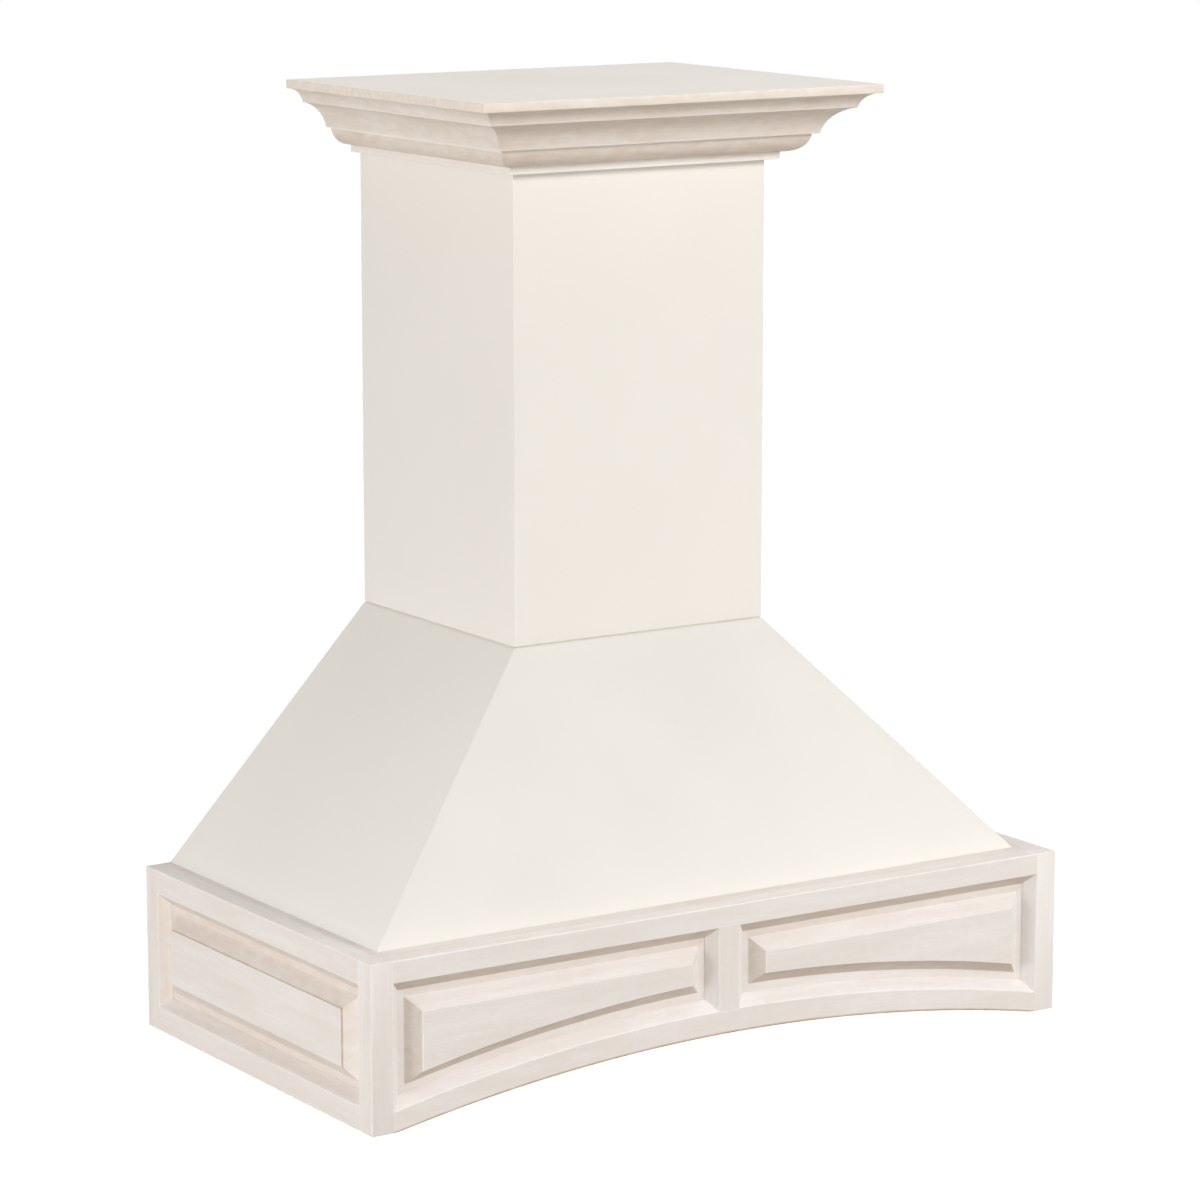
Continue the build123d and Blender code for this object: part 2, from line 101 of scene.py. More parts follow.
def filled_in(line, spacing, closed=True):
    """An outline with points added evenly along every stretch that is longer than the spacing."""
    loop = np.vstack([line, line[:1]]) if closed else np.array(line, float)
    lengths = np.linalg.norm(np.diff(loop, axis=0), axis=1)
    travelled = np.concatenate([[0], np.cumsum(lengths)])
    counts = np.ceil(lengths / spacing).astype(int)
    stretches = zip(travelled[:-1], travelled[1:], counts)
    stops = np.concatenate([np.linspace(a, b, n, endpoint=False) for a, b, n in stretches])
    stops = stops if closed else np.append(stops, travelled[-1])
    return np.stack([np.interp(stops, travelled, column) for column in loop.T], -1)


def drawn_in(outline, distance):
    """A closed outline with each point moved inwards, square to the line through its neighbours."""
    along = np.roll(outline, -1, 0) - np.roll(outline, 1, 0)
    square = np.stack([-along[:, 1], along[:, 0]], -1) / np.linalg.norm(along, axis=1, keepdims=True)
    x, y = outline.T
    side = np.sign((x * np.roll(y, -1) - np.roll(x, -1) * y).sum())
    return outline + side * distance * square


def nearness(points, marks, reach):
    """A mask that is 1 on any of the marks and falls evenly to 0 at the reach."""
    gaps = np.linalg.norm(points[:, None] - np.array(marks, float)[None], axis=2)
    return np.clip(1 - gaps.min(1) / reach, 0, 1)


def carried(section, start, end, stations=2):
    """A section carried along a straight line: row i, point j holds the section's point j and how far
    along it is, which goes evenly from start to end. Both may differ from point to point."""
    share = np.linspace(0, 1, stations)[:, None]
    along = np.broadcast_to(start + (end - start) * share, (stations, len(section)))
    return np.dstack([np.broadcast_to(section, (stations, *section.shape)), along])


def with_eased_ends(section, low, high):
    """A section carried from low to high, with the outer edges of both ends rounded. Near an end no
    point keeps a smaller inset or depth than the radius times one minus the sine of a quarter turn,
    while its distance to the end is the radius times one minus the cosine."""
    angle = np.linspace(0, math.pi / 2, 4)
    pulled_in = end_arris * (1 - np.sin(angle))
    from_end = end_arris * (1 - np.cos(angle))
    foot = [carried(np.maximum(section, i), low + r, low + r, 1) for i, r in zip(pulled_in, from_end)]
    head = [carried(np.maximum(section, i), high - r, high - r, 1) for i, r in zip(pulled_in, from_end)]
    return np.vstack(foot + head[::-1])


def closed_surface(name, rings):
    """A closed mesh through rings of points: each ring is joined to the next by four-sided faces, and
    the first and the last are closed by one face each. All faces are turned outwards."""
    rows, columns, _ = rings.shape
    index = np.arange(rows * columns).reshape(rows, columns)
    following = np.roll(index, -1, 1)
    sides = np.stack([index[:-1], following[:-1], following[1:], index[1:]], -1).reshape(-1, 4)
    mesh = bpy.data.meshes.new(name)
    mesh.from_pydata(rings.reshape(-1, 3), [], sides.tolist() + [index[0].tolist(), index[-1].tolist()])
    work = bmesh.new()
    work.from_mesh(mesh)
    bmesh.ops.recalc_face_normals(work, faces=work.faces)
    work.to_mesh(mesh)
    work.free()
    mesh.polygons.foreach_set("use_smooth", np.ones(len(mesh.polygons), bool))
    mesh.set_sharp_from_angle(angle=crisp_edge)
    return mesh


board_count = 0
next_board = np.array([0.73, 0.19, 0.31])


def timber_attributes(mesh, grain, hollow=0.0, rubbed_and_highlit=0.0, coat=0.0):
    """Gives a board's points the place that they have in their own log, with the grain along its first
    axis and each board further on than the last, and three masks: hollow, where glaze stays and shade
    is painted, one where an edge is worn pale and partly given a painted highlight, and coat, how far
    the board is made paler or greyer as painted light and shade."""
    global board_count
    board_count += 1
    places = np.zeros(len(mesh.vertices) * 3, np.float32)
    mesh.vertices.foreach_get("co", places)
    in_log = np.roll(places.reshape(-1, 3), -"XYZ".index(grain), axis=1) + board_count * next_board
    mesh.attributes.new("log_place", "FLOAT_VECTOR", "POINT").data.foreach_set("vector", in_log.ravel())
    for name, mask in (("hollow", hollow), ("rubbed_and_highlit", rubbed_and_highlit), ("coat", coat)):
        values = np.zeros(len(mesh.vertices), np.float32) + np.asarray(mask, np.float32)
        mesh.attributes.new(name, "FLOAT", "POINT").data.foreach_set("value", values)


def new_object(name, data):
    """An object that shows a mesh, lamp or camera in the scene."""
    shown = bpy.data.objects.new(name, data)
    bpy.context.scene.collection.objects.link(shown)
    return shown


def fitted(mesh, node, material, slot):
    """The finished piece: it stands for its node, rides on the body and takes the material as its finish.
    The slot is not used.
    """
    piece = new_object(f"{node}_finished", mesh)
    mesh.materials.append(material)
    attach(piece, "root")
    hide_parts(node)
    return piece


def linear(red, green, blue):
    """A colour for a shader, from its values on screen between 0 and 255."""
    screen = np.array([red, green, blue]) / 255
    light = np.where(screen <= 0.04045, screen / 12.92, ((screen + 0.055) / 1.055) ** 2.4)
    return (*light.tolist(), 1.0)


def new_group(name, inputs, masks):
    """An empty shader node group that puts out masks, and its input and output nodes."""
    group = bpy.data.node_groups.new(name, "ShaderNodeTree")
    for label, kind, value in inputs:
        socket = group.interface.new_socket(label, in_out="INPUT", socket_type=f"NodeSocket{kind}")
        if value is not None:
            socket.default_value = value
    for label in masks:
        group.interface.new_socket(label, in_out="OUTPUT", socket_type="NodeSocketFloat")
    return group, group.nodes.new("NodeGroupInput"), group.nodes.new("NodeGroupOutput")


def add(tree, kind, links=None, **settings):
    """A node of the kind, with its settings made and its inputs linked from the sockets given."""
    node = tree.nodes.new(f"ShaderNode{kind}")
    for name, value in settings.items():
        setattr(node, name, value)
    for name, source in (links or {}).items():
        if isinstance(source, bpy.types.NodeSocket):
            tree.links.new(source, node.inputs[name])
        else:
            node.inputs[name].default_value = source
    return node


def stretched_noise(tree, vector, scale, detail=3.0, roughness=0.55):
    """Noise whose spots are as long and as thick as one over the scale says, along each axis."""
    mapping = add(tree, "Mapping", {"Vector": vector, "Scale": scale})
    settings = {"Vector": mapping.outputs["Vector"], "Scale": 1.0, "Detail": detail, "Roughness": roughness}
    return add(tree, "TexNoise", settings).outputs["Fac"]


def between(tree, value, low, high):
    """The value's share of the way from low to high, held between 0 and 1 and smooth at both ends."""
    span = {"Value": value, "From Min": low, "From Max": high}
    return add(tree, "MapRange", span, interpolation_type="SMOOTHSTEP").outputs["Result"]


def mixed(tree, share, first, second):
    """Two colours mixed by a share."""
    node = add(tree, "Mix", data_type="RGBA")
    for socket, source in zip((node.inputs[0], node.inputs[6], node.inputs[7]), (share, first, second)):
        if isinstance(source, bpy.types.NodeSocket):
            tree.links.new(source, socket)
        else:
            socket.default_value = source
    return node.outputs[2]


def math_node(tree, operation, first, second=0.0):
    """A sum, product or other operation of two values."""
    return add(tree, "Math", {0: first, 1: second}, operation=operation).outputs[0]


def layered(tree, colour, layers):
    """A colour with layers over it. Each is (mask, strength, colour), and covers what lies under it as
    far as its mask times its strength."""
    for mask, strength, layer in layers:
        colour = mixed(tree, math_node(tree, "MULTIPLY", mask, strength), colour, layer)
    return colour


def timber_figure():
    """Node group: the marks that show along a board. Streaks are the growth lines, a few millimetres
    apart and some twenty times as long, pores are short dashes, clouds are broad patches of colour,
    and flecks are small spots that lie across the grain."""
    marks = ["Streaks", "Pores", "Clouds", "Flecks"]
    group, entry, result = new_group("timber_figure", [("Place", "Vector", None)], marks)
    place = entry.outputs["Place"]
    bend = stretched_noise(group, place, (9, 24, 24), 1.0)
    swing = add(group, "VectorMath", {0: (0.0, 0.012, 0.012)}, operation="SCALE")
    group.links.new(bend, swing.inputs["Scale"])
    waved = add(group, "VectorMath", {0: place, 1: swing.outputs[0]}, operation="ADD").outputs[0]
    fine = stretched_noise(group, waved, (16, 380, 380), 4.0, 0.6)
    broad = stretched_noise(group, waved, (5, 95, 95), 2.0, 0.5)
    fine_part = math_node(group, "MULTIPLY", fine, 0.6)
    broad_part = math_node(group, "MULTIPLY", broad, 0.4)
    streaks = math_node(group, "ADD", fine_part, broad_part)
    pores = stretched_noise(group, waved, (55, 1100, 1100), 2.0, 0.5)
    clouds = stretched_noise(group, place, (7, 34, 34), 2.0, 0.5)
    flecks = stretched_noise(group, waved, (130, 60, 60), 1.0, 0.4)
    spans = [(streaks, 0.36, 0.64), (pores, 0.60, 0.72), (clouds, 0.38, 0.66), (flecks, 0.58, 0.70)]
    for mark, span in zip(marks, spans):
        group.links.new(between(group, *span), result.inputs[mark])
    return group


def hand_rubbing():
    """Node group: the two masks of a hand-rubbed finish. The first is brown glaze held in a hollow, which
    also stands for painted shade there, broken up by the cloth's strokes; the second is what is rubbed
    off an arris here and there, which partly stands for a painted highlight."""
    inputs = [("Place", "Vector", None), ("Hollow", "Float", 0.0), ("Rubbed_and_highlit", "Float", 0.0)]
    group, entry, result = new_group("hand_rubbing", inputs, ["Glaze", "Worn_and_highlit"])
    strokes = stretched_noise(group, entry.outputs["Place"], (45, 120, 120), 3.0)
    left_on = math_node(group, "MULTIPLY", between(group, strokes, 0.25, 0.7), 0.45)
    deep = math_node(group, "POWER", entry.outputs["Hollow"], 1.6)
    held = math_node(group, "MULTIPLY", deep, math_node(group, "ADD", 0.55, left_on))
    group.links.new(held, result.inputs["Glaze"])
    taken_off = math_node(group, "MULTIPLY", between(group, strokes, 0.38, 0.6), 0.6)
    worn_and_highlit = math_node(group, "MULTIPLY", entry.outputs["Rubbed_and_highlit"], math_node(group, "ADD", 0.4, taken_off))
    group.links.new(worn_and_highlit, result.inputs["Worn_and_highlit"])
    return group


timber_figure_group = timber_figure()
hand_rubbing_group = hand_rubbing()
wash_light = linear(239, 234, 231)
wash_dark = linear(235, 228, 223)
wash_cloud = linear(230, 220, 211)
# A paler wash laid on some boards as painted light.
painted_light_wash = linear(252, 249, 246)
# Brown of the glaze, which is also laid where shade falls and so serves as painted shade.
glaze_and_shade_brown = linear(172, 128, 72)
# Pale for worn arrises, partly standing for painted highlights on them, and for the flecks.
pale_wear_and_highlight = linear(250, 248, 245)


def attribute(tree, name):
    """A mesh attribute's output: the vector one of a place, the single value of a mask."""
    node = add(tree, "Attribute", attribute_name=name)
    return node.outputs["Vector" if name == "log_place" else "Fac"]


def new_material(name):
    """A material with its tree, and its surface shader and output joined up."""
    material = bpy.data.materials.new(name)
    material.use_nodes = True
    return material, material.node_tree, material.node_tree.nodes["Principled BSDF"]


def laid_on(tree, surface, colour, gloss, roughness, height, relief, shine):
    """Joins a finish to its surface: the colour, a roughness that goes from its first to its second
    value with the gloss mask, a relief of (strength, depth) from the height, and the shine."""
    tree.links.new(colour, surface.inputs["Base Color"])
    rough = add(tree, "MapRange", {"Value": gloss, "To Min": roughness[0], "To Max": roughness[1]})
    tree.links.new(rough.outputs["Result"], surface.inputs["Roughness"])
    bump = add(tree, "Bump", {"Height": height, "Strength": relief[0], "Distance": relief[1]})
    tree.links.new(bump.outputs["Normal"], surface.inputs["Normal"])
    surface.inputs["Specular IOR Level"].default_value = shine


def rubbed_by_hand(tree, place):
    """The two masks of a hand-rubbed finish, from the board's own attributes: glaze that also serves as
    painted shade, and worn edges that are partly painted highlights.
    """
    masks = {"Place": place, "Hollow": attribute(tree, "hollow"), "Rubbed_and_highlit": attribute(tree, "rubbed_and_highlit")}
    rubbing = add(tree, "Group", masks, node_tree=hand_rubbing_group)
    return rubbing.outputs["Glaze"], rubbing.outputs["Worn_and_highlit"]


def whitewash():
    """Whitewashed hardwood: thin white stain that the growth lines, pores and warm clouds show through,
    with some boards made paler as painted light, brown glaze in the hollows that is also painted shade,
    arrises rubbed pale that are partly painted highlights, and a satin coat of lacquer."""
    material, tree, surface = new_material("whitewashed_wood")
    place = attribute(tree, "log_place")
    figure = add(tree, "Group", {"Place": place}, node_tree=timber_figure_group)
    streaks, pores = figure.outputs["Streaks"], figure.outputs["Pores"]
    glaze_and_shade, worn_and_highlit = rubbed_by_hand(tree, place)
    layers = [
        (attribute(tree, "coat"), 0.7, painted_light_wash),
        (figure.outputs["Clouds"], 0.45, wash_cloud),
        (figure.outputs["Flecks"], 0.1, pale_wear_and_highlight),
        (pores, 0.22, wash_cloud),
        (glaze_and_shade, 0.95, glaze_and_shade_brown),
        (worn_and_highlit, 0.7, pale_wear_and_highlight),
    ]
    colour = layered(tree, mixed(tree, streaks, wash_dark, wash_light), layers)
    height = math_node(tree, "SUBTRACT", streaks, pores)
    laid_on(tree, surface, colour, streaks, (0.56, 0.44), height, (0.35, 0.12 * mm), 0.35)
    return material


whitewashed_wood = whitewash()
washed = (whitewashed_wood, "whitewashed_wood")


def member_section(face, sticking=sticking_width, mitred=False, painted_slope_shade=0.0):
    """Section of a frame member, as (distance in from its outer edge, depth behind its face): face,
    sloping sticking, panel groove and back lip. A mitred one leans back at 45 degrees from the eighth
    of a circle that it has of the corner's rounding. A square one has points where its end steps from
    shoulder to stub tenon. Returns the eased outline and its two masks: the glaze, which also paints
    the shade, in the sticking's foot and, as painted shade, as much as the last argument says all down
    its slope, and the rubbed arrises, pale partly as a painted highlight."""
    inner = face + sticking
    floor = inner - groove_depth
    edge = [(face, 0), (inner, sticking_depth), (floor, sticking_depth), (floor, groove_back)]
    edge += [(inner, groove_back), (inner, frame_thickness)]
    radii = [arris, small_arris, 0, 0, small_arris, small_arris]
    if mitred:
        angle = np.linspace(math.pi / 4, math.pi / 2, 4)
        outer = arris * (1 - np.stack([np.cos(angle), np.sin(angle)], -1))
        corners = [*outer, *edge, (frame_thickness, frame_thickness)]
        radii = [0] * len(outer) + radii + [0]
    else:
        shoulders = [(0, level + side * hair) for level in (groove_back, sticking_depth) for side in (1, -1)]
        corners = [(0, 0), *edge, (0, frame_thickness), *shoulders]
        radii = [arris] + radii + [small_arris] + [0] * len(shoulders)
    outline = filled_in(eased(corners, radii), member_spacing)
    foot = foot_glaze_and_shade * nearness(outline, [(inner, sticking_depth)], hollow_reach)
    slope = (face, 0) + np.linspace(0.1, 1, 16)[:, None] * (sticking, sticking_depth)
    hollow = np.maximum(foot, painted_slope_shade * (nearness(outline, slope, slope_reach) > 0))
    rubbed_and_highlit = nearness(outline, [(0, 0), (face, 0)], rub_reach)
    return outline, hollow, rubbed_and_highlit


def masks_over(rings, masks):
    """A section's two masks, glaze with painted shade in the hollows and rubbed arrises that are partly
    painted highlights, repeated for every ring.
    """
    return [np.tile(mask, len(rings)) for mask in masks]


def member(node, rings, masks, origin, axes, grain, coat=0.0):
    """A frame member from rings of (inset, depth, along), turned by the three axes that these run
    along and moved to the origin."""
    mesh = closed_surface(node, rings @ np.array(axes, float) + np.array(origin, float))
    timber_attributes(mesh, grain, *masks_over(rings, masks), coat)
    fitted(mesh, node, *washed)


right, back, up = (1, 0, 0), (0, 1, 0), (0, 0, 1)
left, forward, down = (-1, 0, 0), (0, -1, 0), (0, 0, -1)
stile_outline, *stile_masks = member_section(stile_face, mitred=True)
stile_rings = with_eased_ends(stile_outline, 0, skirt_top)
# The right stile is made paler as painted light.
for side, sign, inwards, coat in (("left", -1, right, 0.0), ("right", 1, left, 0.5)):
    corner, axes = (sign * skirt_half, -skirt_depth, 0), (inwards, back, up)
    member(f"apron_{side}_stile", stile_rings, stile_masks, corner, axes, "Z", coat)


# ---------------------------------------------------------------------------- apron top rail
# A straight rail between the stiles, its moulded edge down. Both ends are coped: cut to the reverse of
# the stile's moulding, so that the two slopes meet in a clean mitre line.

top_rail_face = 24 * mm
apron_half_opening = skirt_half - stile_face
closing_depth = 0.5 * mm


def coping(outline, face, depth):
    """How far past its face line a member's moulded edge reaches at each depth: down the slope as its
    own outline has it, in to the floor of the groove for the stub tenon, and out again at the lip."""
    slope = outline[(outline[:, 1] < sticking_depth) & (outline[:, 0] > face - arris / 2)]
    slope = slope[np.argsort(slope[:, 1])]
    full = outline[:, 0].max()
    reach = np.interp(depth, [*slope[:, 1], sticking_depth], [*slope[:, 0], full])
    in_groove = (depth > sticking_depth + hair / 2) & (depth < groove_back - hair / 2)
    return reach - face - groove_depth * in_groove


def coped(outline, start, end, stations):
    """A section carried between two coped ends. One more ring at each end is drawn in under the skin,
    so that the face that closes the end lies inside the joint."""
    rings = carried(outline, start, end, stations)
    closing = carried(drawn_in(outline, closing_depth), start, end)
    return np.vstack([closing[:1], rings, closing[1:]])


# The top rail's sticking faces down, and its slope is darkened as painted shade.
rail_outline, *rail_masks = member_section(top_rail_face, painted_slope_shade=0.5)
rail_end = apron_half_opening - coping(stile_outline, stile_face, rail_outline[:, 1])
rail_rings = coped(rail_outline, -rail_end, rail_end, stations=40)
rail_place = (0, -skirt_depth, skirt_top)
member("apron_top_rail", rail_rings, rail_masks, rail_place, (down, back, right), "X")


# ---------------------------------------------------------------------------- apron bottom rail
# The arched rail, sawn from a wide board so that the grain runs straight through the curve. Its
# sticking, groove and lip all follow the arch, each line higher up bent a little more, and the sawn
# edge along the arch is darkened as a painted shade line.

arch_rise = 42 * mm
arch_foot = 31 * mm
arch_deepening = 0.11
arch_rail_face = 26.7 * mm
arch_sticking_width = 13.4 * mm
arch_half_span = skirt_half - arch_foot
arch_edge_reach = 2.6 * mm


def arch_height(offset, x):
    """Height at x of the arched line that is offset above the arch at the middle: a circle whose rise
    over the arch's span is the arch's own plus a share of the offset."""
    sagitta = arch_rise + arch_deepening * offset
    radius = (arch_half_span**2 + sagitta**2) / (2 * sagitta)
    return arch_rise + offset - radius + np.sqrt(radius**2 - x**2)


def fullness(points, marks, reach):
    """A mask that is 1 up to half the reach from the marks, and falls evenly to 0 at the reach."""
    return np.minimum(1, 2 * nearness(points, marks, reach))


arch_outline, arch_hollow, arch_rubbed = member_section(arch_rail_face, arch_sticking_width)
arch_end = apron_half_opening - coping(stile_outline, stile_face, arch_outline[:, 1])
# A line of glaze along the arch's lower arris, as painted shade.
arch_edge_shade = fullness(arch_outline, [(small_arris, small_arris)], arch_edge_reach)
arch_masks = [np.maximum(arch_hollow, arch_edge_shade), arch_rubbed * (arch_edge_shade == 0)]
arch_rings = coped(arch_outline, -arch_end, arch_end, stations=120)
offset, depth, arch_x = np.moveaxis(arch_rings, -1, 0)
arch_z = np.maximum(arch_height(offset, arch_x), np.minimum(offset, arris))
arch_rings = np.stack([arch_x, depth - skirt_depth, arch_z], -1)
arch_mesh = closed_surface("apron_bottom_rail", arch_rings)
timber_attributes(arch_mesh, "X", *masks_over(arch_rings, arch_masks))
fitted(arch_mesh, "apron_bottom_rail", *washed)


# ---------------------------------------------------------------------------- apron mullion
# The short upright between the two panels, moulded on both edges and coped over the top rail and the
# arch. It is held by stub tenons in the rails' grooves.

mullion_face = 27 * mm
half_outline, *half_masks = member_section(mullion_face / 2)
keep = half_outline[:, 0] > arris
mullion_outline = np.vstack([half_outline[keep], half_outline[keep][::-1] * (-1, 1)])
mullion_masks = [np.concatenate([mask[keep], mask[keep][::-1]]) for mask in half_masks]
mullion_depth = mullion_outline[:, 1]
over_arch = arch_rail_face + coping(arch_outline, arch_rail_face, mullion_depth)
mullion_foot = arch_height(over_arch, mullion_outline[:, 0])
mullion_head = skirt_top - top_rail_face - coping(rail_outline, top_rail_face, mullion_depth)
mullion_rings = coped(mullion_outline, mullion_foot, mullion_head, stations=12)
mullion_place = (0, -skirt_depth, 0)
member("apron_mullion", mullion_rings, mullion_masks, mullion_place, (right, back, up), "Z")


# ---------------------------------------------------------------------------- apron panels
# Two solid panels that float in the grooves on thin tongues. Each has a flat margin, a wide bevel and
# a raised field, and its lower edge follows the arch.

tongue_reach = 7 * mm
tongue_thickness = 6 * mm
panel_play = 0.1 * mm
panel_margin = 8 * mm
panel_bevel = 15 * mm
arch_margin = 8.8 * mm
arch_bevel = 13.2 * mm
field_proud = 1.5 * mm
field_step = 1.5 * mm
field_run = 5 * mm
bevel_foot_radius = 0.8 * mm
step_foot_radius = 0.25 * mm
step_arris = 0.45 * mm
step_reach = 2.4 * mm
panel_spacing = 1.6 * mm
end_steps = 12


def panel_profile(step_glaze_and_shade):
    """Half section of a raised panel, as (distance in from the frame's face line, depth): the tongue's
    back and edge, the margin, the bevel, the small step and the field's edge. Returns it with its two
    masks: the glaze at the step's foot, which also paints the shade in that corner, as strong as the
    argument says, and the rubbed step, partly pale as a painted highlight."""
    margin_end = sticking_width + panel_margin
    field_edge = margin_end + panel_bevel
    tongue_edge = sticking_width - tongue_reach
    front = sticking_depth + panel_play
    back_face = front + tongue_thickness
    corners = [(field_edge, back_face), (tongue_edge, back_face), (tongue_edge, front), (margin_end, front)]
    corners += [(field_edge, field_step - field_proud), (field_edge, -field_proud)]
    corners += [(field_edge + field_run, -field_proud)]
    radii = [0, small_arris, small_arris, bevel_foot_radius, step_foot_radius, step_arris, 0]
    line = filled_in(eased(corners, radii), panel_spacing, closed=False)
    hollow = nearness(line, [(field_edge, field_step - field_proud)], step_reach) * step_glaze_and_shade
    rubbed_and_highlit = nearness(line, [(field_edge, -field_proud)], rub_reach)
    return line, hollow, rubbed_and_highlit


def opening_rings(line, low, high, floor, ceiling, samples=72):
    """Rings round an opening, one for each point of a profile of (inset, depth). A ring runs along the
    floor, up one side, back under the ceiling and down the other, drawn in by the inset all round;
    floor(inset, x) is the height of its lower side."""
    inset, depth = line[:, :1], line[:, 1:]
    across = np.linspace(0, 1, samples, endpoint=False)
    upwards = np.linspace(0, 1, end_steps, endpoint=False)
    share_x = np.concatenate([across, 0 * upwards + 1, 1 - across, 0 * upwards])
    share_z = np.concatenate([0 * across, upwards, 0 * across + 1, 1 - upwards])
    x = low + inset + (high - low - 2 * inset) * share_x
    z = floor(inset, x) + (ceiling - inset - floor(inset, x)) * share_z
    return np.stack([x, depth + 0 * x, z], -1)


def raised_panel(node, rings, profile, grain, glaze_and_shade):
    """A panel from its rings, one for each point of the profile. Over its own masks lies glaze that is
    set differently on each side as painted shade, given as (margin, bevel) in the order in which a
    ring runs: lower side, far end, upper side and near end."""
    line, hollow, rubbed_and_highlit = profile
    samples = rings.shape[1] // 2 - end_steps
    around = np.repeat(np.array(glaze_and_shade), [samples, end_steps, samples, end_steps], axis=0)
    margin_end = sticking_width + panel_margin
    inset, depth = line.T
    in_front = depth < sticking_depth + 2 * panel_play
    on_margin = in_front & (inset < margin_end)
    on_bevel = in_front & (inset > margin_end) & (inset < margin_end + panel_bevel)
    kept = np.outer(on_margin, around[:, 0]) + np.outer(on_bevel, around[:, 1])
    glazed = np.maximum(hollow[:, None], kept).ravel()
    mesh = closed_surface(node, rings)
    timber_attributes(mesh, grain, glazed, np.repeat(rubbed_and_highlit, len(around)))
    fitted(mesh, node, *washed)


def arched_floor(inset, x):
    """The lower side of an arched opening: the inset that is kept at the sides is stretched to the
    widths that sticking, margin and bevel have along the arch."""
    at_sides = np.cumsum([0, sticking_width, panel_margin, panel_bevel, panel_bevel])
    at_arch = np.cumsum([arch_rail_face, arch_sticking_width, arch_margin, arch_bevel, panel_bevel])
    return arch_height(np.interp(inset, at_sides, at_arch), x)


apron_profile = panel_profile(step_glaze_and_shade=0.4)
# Glaze on each side of the apron panels, set side by side as painted shade.
apron_glaze_and_shade = [(0.1, 0.5), (0, 0.1), (0.35, 0.2), (0.1, 0.4)]
for side, sign in (("left", -1), ("right", 1)):
    edges = sorted([sign * apron_half_opening, sign * mullion_face / 2])
    panel_rings = opening_rings(apron_profile[0], *edges, arched_floor, skirt_top - top_rail_face)
    raised_panel(f"apron_{side}_panel", panel_rings + (0, -skirt_depth, 0), apron_profile, "X", apron_glaze_and_shade)


# ---------------------------------------------------------------------------- skirt sides
# Two straight frames, each with one raised panel, made with the apron's cutters. The front stiles are
# mitred to the apron and the rear ones stand square on the wall.

side_rail_face = 27 * mm
side_samples = 48


def level_floor(inset, x):
    """The lower side of a square opening: level, and the inset above the rail's face line."""
    return side_rail_face + inset + 0 * x


# The side frames' stickings are darkened down their slopes as painted shade.
rear_outline, *rear_masks = member_section(stile_face, painted_slope_shade=0.4)
rear_rings = with_eased_ends(rear_outline, 0, skirt_top)
side_outline, *side_masks = member_section(side_rail_face, painted_slope_shade=0.32)
side_coping = coping(stile_outline, stile_face, side_outline[:, 1])
side_start, side_end = stile_face + side_coping, skirt_depth - stile_face - side_coping
side_rings = coped(side_outline, side_start, side_end, stations=24)
# The side panels' step carries a strong line of glaze as painted shade.
side_profile = panel_profile(step_glaze_and_shade=1.0)
# Glaze on each side of the side panels, set side by side as painted shade.
side_glaze_and_shade = [(0.4, 0.34), (0.42, 0.28), (0.42, 0.42), (0.42, 0.28)]
side_edges = (stile_face, skirt_depth - stile_face)
side_ceiling = skirt_top - side_rail_face
side_panel_rings = opening_rings(side_profile[0], *side_edges, level_floor, side_ceiling, side_samples)
for side, sign, inwards in (("left", -1, right), ("right", 1, left)):
    wall_foot, wall_head = (sign * skirt_half, 0, 0), (sign * skirt_half, 0, skirt_top)
    front_foot = (sign * skirt_half, -skirt_depth, 0)
    stem = f"{side}_side"
    member(f"{stem}_rear_stile", rear_rings, rear_masks, wall_foot, (forward, inwards, up), "Z")
    member(f"{stem}_front_stile", stile_rings, stile_masks, front_foot, (back, inwards, up), "Z")
    member(f"{stem}_top_rail", side_rings, side_masks, wall_head, (down, inwards, forward), "Y")
    member(f"{stem}_bottom_rail", side_rings, side_masks, wall_foot, (up, inwards, forward), "Y")
    placed = side_panel_rings @ np.array([forward, inwards, up], float) + wall_foot
    raised_panel(f"{stem}_panel", placed, side_profile, "Y", side_glaze_and_shade)


# ---------------------------------------------------------------------------- inner boards
# Wall rails, ledgers, cleats, battens and blocks: planed pine, left bare because the cover hides it,
# glued and screwed behind the finished faces. Their arrises are taken off with a plane.

planed_arris = 0.7 * mm
same_corner = 0.001 * mm
same_face = math.radians(2)
planed_edge = math.radians(40)
pine_light = linear(226, 196, 148)
pine_dark = linear(196, 148, 92)
pine_shade = linear(206, 170, 120)


def pine():
    """Planed pine: growth rings round the log's heart cut by the board's faces, under fine streaks."""
    material, tree, surface = new_material("raw_pine")
    place = attribute(tree, "log_place")
    figure = add(tree, "Group", {"Place": place}, node_tree=timber_figure_group)
    streaks = figure.outputs["Streaks"]
    heart = {"Vector": place, "Location": (0, 0.11, 0.05), "Rotation": (0, 0.02, 0.03)}
    from_heart = add(tree, "Mapping", heart).outputs["Vector"]
    settings = {"Vector": from_heart, "Scale": 38.0, "Distortion": 2.2, "Detail": 1.5, "Detail Scale": 0.6}
    wave = add(tree, "TexWave", settings, wave_type="RINGS", rings_direction="X", wave_profile="SAW")
    rings = wave.outputs["Fac"]
    colour = mixed(tree, between(tree, rings, 0.35, 0.95), pine_light, pine_dark)
    colour = layered(tree, colour, [(streaks, 0.45, pine_shade), (figure.outputs["Pores"], 0.3, pine_dark)])
    height = math_node(tree, "ADD", streaks, rings)
    laid_on(tree, surface, colour, streaks, (0.72, 0.58), height, (0.4, 0.15 * mm), 0.3)
    return material


raw_pine = pine()


